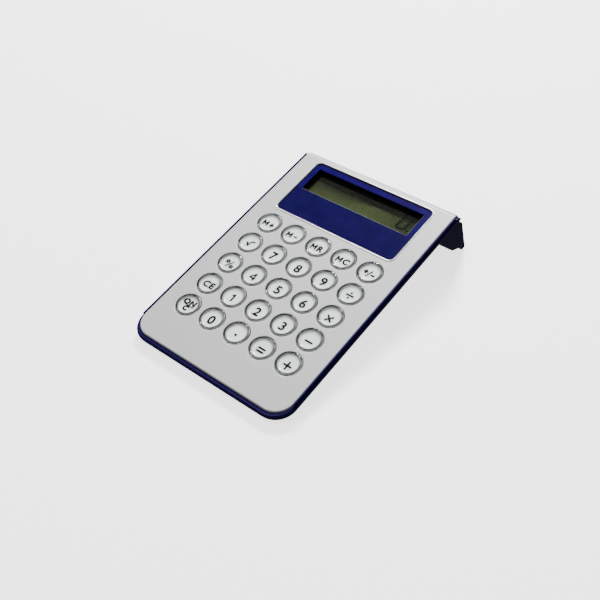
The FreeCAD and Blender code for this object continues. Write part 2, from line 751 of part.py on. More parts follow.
def make_cell():
    """Small cylindrical cell with a raised positive end, lying across the leg."""
    turn = Rotation(BACK, 90)
    body = new_body("battery", cell_start, size("cell_along"), -size("cell_depth"), turn)
    half = new_sketch(body, "half", "XZ_Plane")
    add_outline(half, [
        ("0", "0"),
        ("cell_radius - 0.5", "0"),
        ("cell_radius", "0.5"),
        ("cell_radius", "cell_length - 1.4"),
        ("cell_radius - 0.8", "cell_length - 0.8"),
        ("1.9", "cell_length - 0.8"),
        ("1.9", "cell_length - 0.03"),
        ("0", "cell_length - 0.03"),
    ])
    revolve(body, "turned", half)
    return body


def make_contact(label, side):
    """Sheet contact: a round plate on the bay wall, with a solder tail that points up."""
    body = new_body(label)
    lift = contact_face if side > 0 else "-bay_half_length"
    plate = new_sketch(body, "plate", "YZ_Plane", lift)
    add_circles(plate, [("cell_along", "-cell_depth")], "cell_radius - 0.5")
    pad(body, "disc", plate, "contact_thickness")
    tail = new_sketch(body, "tail", "YZ_Plane", lift)
    add_outline(tail, [
        ("cell_along - 1.2", "-cell_depth + 3"),
        ("cell_along + 1.2", "-cell_depth + 3"),
        ("cell_along + 1.2", "-panel_flange_bottom - 2"),
        ("cell_along - 1.2", "-panel_flange_bottom - 2"),
    ])
    pad(body, "tail_strip", tail, "contact_thickness")
    return body


def make_contacts():
    positive = make_contact("battery_contact_positive", 1)
    bump = new_sketch(positive, "bump", "YZ_Plane", contact_face)
    add_circles(bump, [("cell_along", "-cell_depth")], "2.6")
    raised = pad(positive, "bump_pad", bump, f"bay_half_length - contact_thickness - {cell_start} - cell_length",
                 up=False)
    raised.TaperAngle = -20
    doc.recompute()
    make_contact("battery_contact_negative", -1)


def make_spring():
    """Folded leaf that presses the cell against the positive contact: a base, a sloping arm and a pad."""
    body = new_body("battery_spring")
    fold = new_sketch(body, "fold", "XY_Plane", "-cell_depth")
    base = "-bay_half_length + contact_thickness + 0.02"
    press = f"{cell_start} - 0.03"
    slope = "1.5 * leaf_thickness"
    add_outline(fold, [
        (base, "cell_along - leaf_base"),
        (f"{base} + leaf_thickness", "cell_along - leaf_base"),
        (f"{base} + leaf_thickness", f"cell_along + leaf_base - {slope}"),
        (f"{press} - leaf_thickness", "cell_along - leaf_pad"),
        (press, "cell_along - leaf_pad"),
        (press, "cell_along + leaf_pad"),
        (f"{press} - leaf_thickness", "cell_along + leaf_pad"),
        (f"{press} - leaf_thickness", f"cell_along - leaf_pad + {slope}"),
        (f"{base} + leaf_thickness", "cell_along + leaf_base"),
        (base, "cell_along + leaf_base"),
    ])
    pad(body, "leaf", fold, "leaf_width", both_ways=True)


def make_door():
    """Battery cover: a plate flush with the leg's slant, with hinge pins, grip ridges and a snap tongue."""
    body = new_body("battery_door")
    side = new_sketch(body, "side", "YZ_Plane")
    add_outline(side, [
        slant("door_start", "0"),
        slant("door_end", "0"),
        slant("door_end", "door_thickness"),
        slant("door_start", "door_thickness"),
    ])
    pad(body, "cover", side, "2 * door_half_width", both_ways=True)
    hinge_line = -size("leg_front_depth") - 1.0 - size("door_start") * math.sin(math.radians(size("leg_slant")))
    round_edges(body, "hinge_round", "0.55",
                lambda edge, mid: along(edge, ACROSS) and mid.z > hinge_line)
    pins = new_sketch(body, "pins", "YZ_Plane")
    add_circles(pins, [slant("door_start + door_thickness / 2", "door_thickness / 2")], "door_pin_radius")
    pad(body, "pins_pad", pins, "2 * (door_half_width + door_pin_length)", both_ways=True)
    ridges = new_sketch(body, "ridges", "YZ_Plane")
    for k in range(3):
        start = f"door_end - 2 - {1.4 * k}"
        add_outline(ridges, [
            slant(start, "0.2"), slant(f"{start} - 0.6", "0.2"),
            slant(f"{start} - 0.6", "-0.35"), slant(start, "-0.35"),
        ])
    pad(body, "ridges_pad", ridges, "14", both_ways=True)
    tongue = new_sketch(body, "tongue", "YZ_Plane")
    add_outline(tongue, [
        slant("door_end - door_lip - 0.4", "door_thickness - 0.2"),
        slant("door_end - door_lip - 0.4", "door_thickness + 1.6"),
        slant("door_end - door_lip - 1.3", "door_thickness + 1.6"),
        slant("door_end - door_lip - 1.3", "door_thickness - 0.2"),
    ])
    pad(body, "tongue_pad", tongue, "10", both_ways=True)
    return body


# ---------------------------------------------------------------- feet
def ground_at(y):
    """Depth formula of the ground under a point y of the slab's frame."""
    return f"-(ground_depth + ({y}) * sin(tilt_angle)) / cos(tilt_angle)"


def make_feet():
    """Rubber feet whose bottoms lie flat on the ground."""
    front = new_body("front_feet")
    discs = new_sketch(front, "discs", "XY_Plane", "-belly_depth")
    add_circles(discs, [("-foot_across", "-foot_along"), ("foot_across", "-foot_along")], "foot_radius")
    pad(front, "discs_pad", discs, "4", up=False)
    ground = new_sketch(front, "ground", "YZ_Plane")
    add_outline(ground, [
        ("-60", ground_at("-60")), ("-20", ground_at("-20")), ("-20", "-30"), ("-60", "-30"),
    ])
    pocket(front, "ground_cut", ground, "100", both_ways=True)
    rear = new_body("rear_foot")
    side = new_sketch(rear, "side", "YZ_Plane")
    add_outline(side, [
        ("lip_end", "-lip_end_depth"),
        ("leg_tip", "-leg_tip_depth"),
        ("leg_tip", ground_at("leg_tip")),
        ("leg_tip - rear_foot_width", ground_at("leg_tip - rear_foot_width")),
    ])
    pad(rear, "strip", side, "2 * (leg_half_width - 0.6)", both_ways=True)


# ---------------------------------------------------------------- build
make_top_plate()
make_lower_case()
make_bezel()
make_display_stack()
make_tray()
make_ribbon()
slab_body("circuit_board", "board_half_width", "-board_front", "board_back", "board_top", "board_bottom",
          "1.5", [(board_posts, "screw_radius + 0.4")])
make_membrane()
make_pills()
make_blob()
make_board_parts()
make_screws("case_screws", case_posts, "case_depth - screw_head_height", "3.2")
make_screws("board_screws", board_posts, "board_bottom", "3.2")
make_cell()
make_contacts()
make_spring()
make_door()
make_feet()
for row, names in zip(key_rows, legends):
    for column, name in zip(key_columns, names):
        make_key(name, column, row)


# ---------------------------------------------------------------- stance
def stand_up():
    """Tip every piece by the tilt angle, put the ground at Z 0 and centre the whole on Z."""
    tip = Placement(Vector(0, 0, size("ground_depth")), Rotation(ACROSS, size("tilt_angle")))
    whole = FreeCAD.BoundBox()
    for thing, place in pieces.values():
        thing.Placement = tip * place
        whole.add(thing.Shape.optimalBoundingBox(False, False))
    shift = Placement(Vector(-(whole.XMin + whole.XMax) / 2, -(whole.YMin + whole.YMax) / 2, 0), Rotation())
    for thing, place in pieces.values():
        thing.Placement = shift * tip * place
    doc.recompute()
    print(f"whole {whole.XLength:.2f} x {whole.YLength:.2f} x {whole.ZLength:.2f}, "
          f"lowest {whole.ZMin:.3f}, shift {shift.Base.y:.4f}")


stand_up()
for thing in doc.Objects:
    if "Invalid" in thing.State or "Error" in thing.State:
        raise RuntimeError(f"{thing.Label} failed: {thing.State}")
os.makedirs("parts", exist_ok=True)
for label, (thing, place) in pieces.items():
    shape = thing.Shape
    if shape.isNull() or not shape.isValid():
        raise RuntimeError(f"{label} has no valid shape")
    shape.exportStep(f"parts/{label}.step")
    print(f"{label}: {len(shape.Solids)} solid(s), {shape.Volume:.1f} mm3")
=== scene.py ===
import json
import math

import bmesh
import bpy
from mathutils import Matrix, Vector

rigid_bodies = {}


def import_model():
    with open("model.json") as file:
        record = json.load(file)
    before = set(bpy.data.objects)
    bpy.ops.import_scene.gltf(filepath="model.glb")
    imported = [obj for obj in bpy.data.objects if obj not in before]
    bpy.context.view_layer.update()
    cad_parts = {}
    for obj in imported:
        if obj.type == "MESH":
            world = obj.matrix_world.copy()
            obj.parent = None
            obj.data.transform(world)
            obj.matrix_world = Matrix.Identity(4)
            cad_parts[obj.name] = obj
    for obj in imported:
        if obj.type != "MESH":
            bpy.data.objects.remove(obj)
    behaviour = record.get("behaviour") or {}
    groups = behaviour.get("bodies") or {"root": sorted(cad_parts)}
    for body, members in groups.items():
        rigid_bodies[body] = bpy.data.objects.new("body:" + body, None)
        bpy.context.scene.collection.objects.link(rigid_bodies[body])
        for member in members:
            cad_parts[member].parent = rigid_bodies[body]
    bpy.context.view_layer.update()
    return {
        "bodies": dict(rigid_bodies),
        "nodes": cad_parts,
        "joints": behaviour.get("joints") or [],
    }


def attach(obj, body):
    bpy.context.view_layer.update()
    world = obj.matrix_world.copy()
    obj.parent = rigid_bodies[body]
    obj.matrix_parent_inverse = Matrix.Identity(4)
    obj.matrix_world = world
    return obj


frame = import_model()
nodes = frame["nodes"]


# The slab leans back on its feet. Pieces are drawn in the slab's own millimetres, with the middle of the
# centre key at 0, 0 and the top of the face plate at height 0, and are then carried over to the frame.
keyRise = 0.9  # how far a key's rim stands above the plate
pressLine = Vector(next(j["axis"] for j in frame["joints"] if j["name"] == "key_5_press"))
leanBack = Matrix.Rotation(math.atan2(pressLine.y, -pressLine.z), 4, "X")


def spreadOf(nodeName, lookFrom):
    # lowest and highest corner of a node in another frame
    seen = [lookFrom @ corner.co for corner in nodes[nodeName].data.vertices]
    low = Vector([min(spot[i] for spot in seen) for i in range(3)])
    high = Vector([max(spot[i] for spot in seen) for i in range(3)])
    return low, high


keyLow, keyHigh = spreadOf("key_5", leanBack.inverted())
slabHome = Vector(((keyLow.x + keyHigh.x) / 2, (keyLow.y + keyHigh.y) / 2, keyHigh.z - keyRise / 1000))
slabToFrame = leanBack @ Matrix.Translation(slabHome) @ Matrix.Scale(0.001, 4)
frameToSlab = slabToFrame.inverted()


def slabSpread(nodeName):
    return spreadOf(nodeName, frameToSlab)


def keyMiddle(nodeName):
    low, high = slabSpread(nodeName)
    return (low.x + high.x) / 2, (low.y + high.y) / 2


def addPiece(name, mesh, material, body):
    # a mesh drawn on the slab becomes a piece that moves with a body
    mesh.transform(slabToFrame)
    mesh.materials.clear()
    mesh.materials.append(material)
    mesh.name = name
    piece = bpy.data.objects.new(name, mesh)
    bpy.context.scene.collection.objects.link(piece)
    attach(piece, body)
    return piece


def joinMeshes(meshes, name):
    whole = bmesh.new()
    for part in meshes:
        whole.from_mesh(part)
    joined = bpy.data.meshes.new(name)
    whole.to_mesh(joined)
    whole.free()
    return joined


# Node helpers for the finishes.
def addNode(tree, kind, feeds=None, **settings):
    node = tree.nodes.new(kind)
    for key, value in settings.items():
        setattr(node, key, value)
    for key, value in (feeds or {}).items():
        if isinstance(value, bpy.types.NodeSocket):
            tree.links.new(value, node.inputs[key])
        else:
            node.inputs[key].default_value = value
    return node


def addMath(tree, operation, first, second=0.0):
    return addNode(tree, "ShaderNodeMath", {0: first, 1: second}, operation=operation).outputs[0]


def startFinish(name, colour):
    material = bpy.data.materials.new(name)
    material.use_nodes = True
    material.diffuse_color = (*colour, 1.0)
    tree = material.node_tree
    shader = tree.nodes["Principled BSDF"]
    shader.inputs["Base Color"].default_value = (*colour, 1.0)
    return material, tree, shader


def grainOf(tree, size, detail=2.0):
    # soft random grain whose lumps are about this many millimetres across
    place = addNode(tree, "ShaderNodeTexCoord").outputs["Object"]
    feeds = {"Vector": place, "Scale": 1000.0 / size, "Detail": detail, "Roughness": 0.55}
    return addNode(tree, "ShaderNodeTexNoise", feeds).outputs["Fac"]


def spreadTo(tree, value, low, high, fromLow=0.3, fromHigh=0.7):
    feeds = {"Value": value, "From Min": fromLow, "From Max": fromHigh, "To Min": low, "To Max": high}
    return addNode(tree, "ShaderNodeMapRange", feeds).outputs["Result"]


def mixColour(tree, share, first, second):
    node = addNode(tree, "ShaderNodeMix", data_type="RGBA")
    for socket, value in zip((node.inputs["Factor"], node.inputs[6], node.inputs[7]), (share, first, second)):
        if isinstance(value, bpy.types.NodeSocket):
            tree.links.new(value, socket)
        elif isinstance(value, tuple):
            socket.default_value = (*value, 1.0)
        else:
            socket.default_value = value
    return node.outputs[2]


def slabPlace(tree):
    # the slab's own millimetres, for a pattern that lines up with the slab
    place = addNode(tree, "ShaderNodeTexCoord").outputs["Object"]
    turn = leanBack.inverted().to_euler()
    mapping = addNode(tree, "ShaderNodeMapping", {"Vector": place}, vector_type="POINT")
    mapping.inputs["Rotation"].default_value = turn
    mapping.inputs["Scale"].default_value = (1000.0, 1000.0, 1000.0)
    mapping.inputs["Location"].default_value = slabHome * -1000.0
    return mapping.outputs["Vector"]


def surfaceFinish(recipe):
    # moulded, painted or sheet surface: colour that drifts, fine grain in the gloss and in the relief
    colour = recipe["colour"]
    material, tree, shader = startFinish(recipe["name"], colour)
    drift = spreadTo(tree, grainOf(tree, recipe["driftSize"]), 0.0, 1.0)
    darker = tuple(c * (1.0 - recipe["drift"]) for c in colour)
    lighter = tuple(min(1.0, c * (1.0 + recipe["drift"])) for c in colour)
    base = mixColour(tree, drift, darker, lighter)
    fine = grainOf(tree, recipe["grainSize"], 3.0)
    if recipe.get("fleck"):
        fleck = spreadTo(tree, fine, 1.0 - recipe["fleck"], 1.0 + recipe["fleck"], 0.25, 0.75)
        base = addNode(tree, "ShaderNodeVectorMath", {0: base, "Scale": fleck}, operation="SCALE").outputs[0]
    tree.links.new(base, shader.inputs["Base Color"])
    rough = spreadTo(tree, fine, recipe["roughness"] - recipe["roughSpread"],
                     recipe["roughness"] + recipe["roughSpread"])
    tree.links.new(rough, shader.inputs["Roughness"])
    feeds = {"Height": fine, "Strength": recipe.get("relief", 0.3), "Distance": recipe["grainDepth"] / 1000.0}
    bump = addNode(tree, "ShaderNodeBump", feeds)
    tree.links.new(bump.outputs["Normal"], shader.inputs["Normal"])
    shader.inputs["Metallic"].default_value = recipe.get("metal", 0.0)
    shader.inputs["Coat Weight"].default_value = recipe.get("coat", 0.0)
    shader.inputs["Coat Roughness"].default_value = recipe.get("coatRoughness", 0.1)
    shader.inputs["Specular IOR Level"].default_value = recipe.get("shine", 0.5)
    return material


def shadeBySlab(material, axis, look):
    # painted shade: the colour darkens along one of the slab's axes, from start to end
    tree = material.node_tree
    socket = tree.nodes["Principled BSDF"].inputs["Base Color"]
    plain = socket.links[0].from_socket
    spot = addNode(tree, "ShaderNodeSeparateXYZ", {"Vector": slabPlace(tree)}).outputs[axis]
    share = spreadTo(tree, spot, 1.0, look["shade"], look["start"], look["end"])
    shaded = addNode(tree, "ShaderNodeVectorMath", {0: plain, "Scale": share}, operation="SCALE")
    tree.links.new(shaded.outputs[0], socket)


def letLampsThrough(material, tree, shader):
    # lamps reach what is shut in behind clear plastic
    path = addNode(tree, "ShaderNodeLightPath")
    open_ = addNode(tree, "ShaderNodeBsdfTransparent")
    either = addNode(tree, "ShaderNodeMixShader", {0: path.outputs["Is Shadow Ray"]})
    tree.links.new(shader.outputs[0], either.inputs[1])
    tree.links.new(open_.outputs[0], either.inputs[2])
    tree.links.new(either.outputs[0], tree.nodes["Material Output"].inputs["Surface"])


def clearFinish(recipe):
    material, tree, shader = startFinish(recipe["name"], recipe["colour"])
    haze = grainOf(tree, recipe["hazeSize"], 2.0)
    tree.links.new(spreadTo(tree, haze, recipe["roughness"] * 0.5, recipe["roughness"] * 1.5),
                   shader.inputs["Roughness"])
    ripple = addNode(tree, "ShaderNodeBump", {"Height": grainOf(tree, recipe["rippleSize"], 1.0),
                                              "Strength": recipe["ripple"], "Distance": 0.0002})
    tree.links.new(ripple.outputs["Normal"], shader.inputs["Normal"])
    shader.inputs["Transmission Weight"].default_value = 1.0
    shader.inputs["IOR"].default_value = recipe["bend"]
    letLampsThrough(material, tree, shader)
    return material


# Finishes of the outside.
# painted shade: the plate's colour darkens over its rear bend, from 85.1 to 85.6 mm back along the slab
bendPaintedShade = {"start": 85.1, "end": 85.6, "shade": 0.45}
silverFinish = surfaceFinish({
    "name": "satinSilver", "colour": (0.585, 0.585, 0.595), "drift": 0.012, "driftSize": 38.0, "fleck": 0.03,
    "grainSize": 0.16, "grainDepth": 0.012, "roughness": 0.5, "roughSpread": 0.07, "metal": 0.1,
    "relief": 0.25, "shine": 0.3,
})
shadeBySlab(silverFinish, "Y", bendPaintedShade)
navyFinish = surfaceFinish({
    "name": "navyMoulding", "colour": (0.013, 0.0055, 0.075), "drift": 0.08, "driftSize": 24.0,
    "grainSize": 0.22, "grainDepth": 0.008, "roughness": 0.3, "roughSpread": 0.05, "relief": 0.3,
    "shine": 0.1,
})
doorFinish = surfaceFinish({
    "name": "doorMoulding", "colour": (0.013, 0.007, 0.075), "drift": 0.08, "driftSize": 18.0,
    "grainSize": 0.3, "grainDepth": 0.03, "roughness": 0.4, "roughSpread": 0.07, "relief": 0.4,
    "shine": 0.12,
})
footFinish = surfaceFinish({
    "name": "footRubber", "colour": (0.018, 0.018, 0.019), "drift": 0.25, "driftSize": 3.0,
    "grainSize": 0.14, "grainDepth": 0.03, "roughness": 0.78, "roughSpread": 0.1, "relief": 0.5,
})
pearlFinish = surfaceFinish({
    "name": "pearlInsert", "colour": (0.68, 0.70, 0.71), "drift": 0.02, "driftSize": 6.0, "fleck": 0.05,
    "grainSize": 0.12, "grainDepth": 0.01, "roughness": 0.5, "roughSpread": 0.06, "metal": 0.1,
})
# painted shade: each insert darkens up its dish wall towards the rim, from slab height -0.66 to 0.15 mm, for
# the shade inside the bowl
shadeBySlab(pearlFinish, "Z", {"start": -0.66, "end": 0.15, "shade": 0.09})
inkFinish = surfaceFinish({
    "name": "legendInk", "colour": (0.003, 0.003, 0.004), "drift": 0.2, "driftSize": 1.5,
    "grainSize": 0.08, "grainDepth": 0.004, "roughness": 0.6, "roughSpread": 0.1, "shine": 0.1,
})
# painted highlight, partly real: a whiter metal than the plate's for the bead round the panel's opening; the
# lamps make its gleam
highlightBeadFinish = surfaceFinish({
    "name": "highlightBeadMetal", "colour": (0.92, 0.92, 0.94), "drift": 0.01, "driftSize": 9.0,
    "grainSize": 0.3, "grainDepth": 0.002, "roughness": 0.35, "roughSpread": 0.04, "metal": 1.0,
})
# black for the painted shade bead in the gap round the panel
gapShadeFinish = surfaceFinish({
    "name": "gapShadeBlack", "colour": (0.004, 0.004, 0.008), "drift": 0.2, "driftSize": 5.0,
    "grainSize": 0.2, "grainDepth": 0.01, "roughness": 0.6, "roughSpread": 0.1,
})
keyFinish = clearFinish({
    "name": "clearKey", "colour": (0.97, 0.98, 0.98), "bend": 1.49, "roughness": 0.03, "hazeSize": 0.6,
    "ripple": 0.05, "rippleSize": 3.0,
})
lensFinish = clearFinish({
    "name": "clearLens", "colour": (0.93, 0.95, 0.93), "bend": 1.49, "roughness": 0.01, "hazeSize": 1.2,
    "ripple": 0.03, "rippleSize": 9.0,
})
glassFinish = clearFinish({
    "name": "displayGlass", "colour": (0.92, 0.96, 0.92), "bend": 1.5, "roughness": 0.02, "hazeSize": 2.0,
    "ripple": 0.01, "rippleSize": 12.0,
})
print("outside finishes ready")


# The panel is navy gloss. Painted light: its frame round the window is a brighter blue than the broad field
# in front.
panelPaint = {
    "field": (0.0072, 0.0034, 0.058), "band": (0.0095, 0.0012, 0.088), "wall": (0.001, 0.001, 0.004),
    "sideEdge": 34.4, "backEdge": 77.7, "windowEdge": 61.0, "soft": 0.5, "wallLow": -0.8, "wallTop": -0.45,
    "roughness": 0.16, "smoother": 0.05, "rougher": 0.06, "shine": 0.06,
}


def panelFinish(recipe):
    material, tree, shader = startFinish("panelBlue", recipe["field"])
    place = slabPlace(tree)
    parts = addNode(tree, "ShaderNodeSeparateXYZ", {"Vector": place}).outputs
    soft = recipe["soft"]

    def pastEdge(distance, edge):
        return spreadTo(tree, distance, 0.0, 1.0, recipe[edge] - soft, recipe[edge] + soft)

    side = pastEdge(addMath(tree, "ABSOLUTE", parts["X"]), "sideEdge")
    back = pastEdge(parts["Y"], "backEdge")
    upper = pastEdge(parts["Y"], "windowEdge")
    # painted light: share of the brighter blue at the sides and back of the window frame
    paintedFrameLight = addMath(tree, "MULTIPLY", addMath(tree, "MAXIMUM", side, back), upper)
    drift = spreadTo(tree, grainOf(tree, 7.0), 0.85, 1.15)
    base = mixColour(tree, paintedFrameLight, recipe["field"], recipe["band"])
    # painted shade: the window's inner walls, below -0.45 mm, are painted near black
    sunk = spreadTo(tree, parts["Z"], 1.0, 0.0, recipe["wallLow"], recipe["wallTop"])
    base = mixColour(tree, sunk, base, recipe["wall"])
    base = addNode(tree, "ShaderNodeVectorMath", {0: base, "Scale": drift}, operation="SCALE").outputs[0]
    tree.links.new(base, shader.inputs["Base Color"])
    fine = grainOf(tree, 0.25, 2.0)
    rough = spreadTo(tree, fine, recipe["roughness"] - recipe["smoother"],
                     recipe["roughness"] + recipe["rougher"])
    tree.links.new(rough, shader.inputs["Roughness"])
    bump = addNode(tree, "ShaderNodeBump", {"Height": fine, "Strength": 0.15, "Distance": 0.00001})
    tree.links.new(bump.outputs["Normal"], shader.inputs["Normal"])
    shader.inputs["Specular IOR Level"].default_value = recipe["shine"]
    return material


bluePanel = panelFinish(panelPaint)


# Display: a smoky film over the glass and an olive reflector with a faint mottle behind it.
displayLook = {"film": (0.50, 0.54, 0.42), "reflector": (0.14, 0.152, 0.074), "mottle": 0.1}


def filmFinish(recipe):
    material, tree, shader = startFinish("smokyFilm", recipe["film"])
    shader.inputs["Transmission Weight"].default_value = 1.0
    shader.inputs["IOR"].default_value = 1.49
    tree.links.new(spreadTo(tree, grainOf(tree, 0.4), 0.003, 0.012), shader.inputs["Roughness"])
    streak = mixColour(tree, grainOf(tree, 14.0), recipe["film"], tuple(c * 0.94 for c in recipe["film"]))
    tree.links.new(streak, shader.inputs["Base Color"])
    path = addNode(tree, "ShaderNodeLightPath")
    tint = addNode(tree, "ShaderNodeBsdfTransparent", {"Color": (*recipe["film"], 1.0)})
    either = addNode(tree, "ShaderNodeMixShader", {0: path.outputs["Is Shadow Ray"]})
    tree.links.new(shader.outputs[0], either.inputs[1])
    tree.links.new(tint.outputs[0], either.inputs[2])
    tree.links.new(either.outputs[0], tree.nodes["Material Output"].inputs["Surface"])
    return material


filmMaterial = filmFinish(displayLook)
reflectorFinish = surfaceFinish({
    "name": "oliveReflector", "colour": displayLook["reflector"], "drift": displayLook["mottle"],
    "driftSize": 12.0, "grainSize": 0.18, "grainDepth": 0.01, "roughness": 0.55, "roughSpread": 0.08,
    "fleck": 0.06,
})
segmentFinish = surfaceFinish({
    "name": "darkSegment", "colour": (0.006, 0.012, 0.007), "drift": 0.15, "driftSize": 2.0,
    "grainSize": 0.2, "grainDepth": 0.003, "roughness": 0.8, "roughSpread": 0.08, "shine": 0.0,
})


# Finishes of the inside.
blackFinish = surfaceFinish({
    "name": "blackMoulding", "colour": (0.012, 0.012, 0.014), "drift": 0.15, "driftSize": 8.0,
    "grainSize": 0.25, "grainDepth": 0.02, "roughness": 0.5, "roughSpread": 0.1,
})
rubberFinish = surfaceFinish({
    "name": "greyRubber", "colour": (0.20, 0.20, 0.21), "drift": 0.08, "driftSize": 9.0,
    "grainSize": 0.2, "grainDepth": 0.02, "roughness": 0.68, "roughSpread": 0.08,
})
carbonFinish = surfaceFinish({
    "name": "carbonRubber", "colour": (0.014, 0.014, 0.015), "drift": 0.2, "driftSize": 1.2,
    "grainSize": 0.1, "grainDepth": 0.02, "roughness": 0.85, "roughSpread": 0.08,
})
epoxyFinish = surfaceFinish({
    "name": "blackEpoxy", "colour": (0.008, 0.008, 0.009), "drift": 0.2, "driftSize": 3.0,
    "grainSize": 0.9, "grainDepth": 0.04, "roughness": 0.22, "roughSpread": 0.1, "coat": 0.4,
})
componentFinish = surfaceFinish({
    "name": "componentCase", "colour": (0.30, 0.24, 0.15), "drift": 0.12, "driftSize": 1.5,
    "grainSize": 0.12, "grainDepth": 0.01, "roughness": 0.5, "roughSpread": 0.1,
})
screwFinish = surfaceFinish({
    "name": "zincScrew", "colour": (0.55, 0.55, 0.56), "drift": 0.08, "driftSize": 1.2, "fleck": 0.1,
    "grainSize": 0.12, "grainDepth": 0.01, "roughness": 0.32, "roughSpread": 0.12, "metal": 1.0,
})
contactFinish = surfaceFinish({
    "name": "nickelContact", "colour": (0.66, 0.64, 0.60), "drift": 0.06, "driftSize": 3.0, "fleck": 0.08,
    "grainSize": 0.2, "grainDepth": 0.01, "roughness": 0.25, "roughSpread": 0.1, "metal": 1.0,
})
goldFinish = surfaceFinish({
    "name": "padGold", "colour": (0.78, 0.56, 0.24), "drift": 0.06, "driftSize": 2.0, "fleck": 0.06,
    "grainSize": 0.15, "grainDepth": 0.006, "roughness": 0.3, "roughSpread": 0.1, "metal": 1.0,
})


def boardFinish():
    # green lacquer over fine tracks that run mostly along the board
    material, tree, shader = startFinish("boardLacquer", (0.02, 0.12, 0.05))
    place = slabPlace(tree)
    feeds = {"Vector": place, "Scale": 0.32, "Distortion": 2.0, "Detail": 1.0, "Detail Scale": 0.6}
    track = addNode(tree, "ShaderNodeTexWave", feeds, bands_direction="X").outputs["Fac"]
    onTrack = spreadTo(tree, track, 0.0, 1.0, 0.72, 0.8)
    mottle = spreadTo(tree, grainOf(tree, 5.0), 0.85, 1.15)
    base = mixColour(tree, onTrack, (0.012, 0.085, 0.035), (0.03, 0.17, 0.07))
    base = addNode(tree, "ShaderNodeVectorMath", {0: base, "Scale": mottle}, operation="SCALE").outputs[0]
    tree.links.new(base, shader.inputs["Base Color"])
    tree.links.new(spreadTo(tree, grainOf(tree, 0.8), 0.22, 0.36), shader.inputs["Roughness"])
    bump = addNode(tree, "ShaderNodeBump", {"Height": onTrack, "Strength": 0.5, "Distance": 0.00003})
    tree.links.new(bump.outputs["Normal"], shader.inputs["Normal"])
    return material


def ribbonFinish():
    # amber film with a row of fine dark conductors side by side
    material, tree, shader = startFinish("ribbonFilm", (0.34, 0.20, 0.06))
    parts = addNode(tree, "ShaderNodeSeparateXYZ", {"Vector": slabPlace(tree)}).outputs
    phase = addMath(tree, "FRACT", addMath(tree, "MULTIPLY", parts["X"], 1.0 / 0.9))
    away = addMath(tree, "ABSOLUTE", addMath(tree, "SUBTRACT", phase, 0.5))
    line = spreadTo(tree, away, 1.0, 0.0, 0.16, 0.24)
    base = mixColour(tree, line, (0.36, 0.22, 0.07), (0.05, 0.04, 0.035))
    tree.links.new(base, shader.inputs["Base Color"])
    tree.links.new(spreadTo(tree, grainOf(tree, 0.5), 0.25, 0.4), shader.inputs["Roughness"])
    bump = addNode(tree, "ShaderNodeBump", {"Height": line, "Strength": 0.4, "Distance": 0.00002})
    tree.links.new(bump.outputs["Normal"], shader.inputs["Normal"])
    return material


def cellFinish():
    # printed sleeve with a blue band near the raised end, bare metal at both ends
    material, tree, shader = startFinish("cellSleeve", (0.6, 0.6, 0.62))
    low, high = slabSpread("battery")
    parts = addNode(tree, "ShaderNodeSeparateXYZ", {"Vector": slabPlace(tree)}).outputs
    band = spreadTo(tree, parts["X"], 0.0, 1.0, high.x - 13.0, high.x - 12.9)
    leftMetal = spreadTo(tree, parts["X"], 1.0, 0.0, low.x + 0.5, low.x + 0.6)
    rightMetal = spreadTo(tree, parts["X"], 0.0, 1.0, high.x - 1.5, high.x - 1.4)
    metal = addMath(tree, "MAXIMUM", leftMetal, rightMetal)
    sleeve = mixColour(tree, band, (0.55, 0.56, 0.58), (0.015, 0.05, 0.22))
    scuff = spreadTo(tree, grainOf(tree, 2.0, 4.0), 0.92, 1.06)
    base = mixColour(tree, metal, sleeve, (0.62, 0.61, 0.6))
    base = addNode(tree, "ShaderNodeVectorMath", {0: base, "Scale": scuff}, operation="SCALE").outputs[0]
    tree.links.new(base, shader.inputs["Base Color"])
    tree.links.new(metal, shader.inputs["Metallic"])
    tree.links.new(spreadTo(tree, grainOf(tree, 0.6), 0.2, 0.34), shader.inputs["Roughness"])
    return material


boardMaterial = boardFinish()
ribbonMaterial = ribbonFinish()
cellMaterial = cellFinish()
keyBodies = sorted(name for name in frame["bodies"] if name.startswith("key_"))

finishOf = {
    "top_plate": silverFinish, "lower_case": navyFinish, "battery_door": doorFinish,
    "display_bezel": bluePanel, "display_lens": lensFinish, "display_polarizer": filmMaterial,
    "display_glass": glassFinish, "display_reflector": reflectorFinish, "display_tray": blackFinish,
    "display_ribbon": ribbonMaterial, "circuit_board": boardMaterial, "keypad_membrane": rubberFinish,
    "contact_pills": carbonFinish, "processor_blob": epoxyFinish, "board_capacitor": componentFinish,
    "board_resistors": blackFinish, "case_screws": screwFinish, "board_screws": screwFinish,
    "battery": cellMaterial, "battery_contact_positive": contactFinish,
    "battery_contact_negative": contactFinish, "battery_spring": contactFinish,
    "front_feet": footFinish, "rear_foot": footFinish,
}
finishOf.update({name: keyFinish for name in keyBodies})
for nodeName, finish in finishOf.items():
    nodes[nodeName].data.materials.clear()
    nodes[nodeName].data.materials.append(finish)
missing = sorted(set(nodes) - set(finishOf))
print("finishes given to the frame's own pieces; left over:", missing)


# Node trees that grow the repeated pieces and the ones that follow a path.
def startTree(name, inputs):
    tree = bpy.data.node_groups.new(name, "GeometryNodeTree")
    tree.interface.new_socket("Geometry", in_out="OUTPUT", socket_type="NodeSocketGeometry")
    for label, kind in inputs.items():
        tree.interface.new_socket(label, in_out="INPUT", socket_type="NodeSocket" + kind)
    return tree, tree.nodes.new("NodeGroupInput").outputs, tree.nodes.new("NodeGroupOutput").inputs[0]


def endTree(tree, geometry, material, outlet):
    realized = addNode(tree, "GeometryNodeRealizeInstances", {"Geometry": geometry}).outputs[0]
    painted = addNode(tree, "GeometryNodeSetMaterial", {"Geometry": realized, "Material": material})
    tree.links.new(painted.outputs[0], outlet)


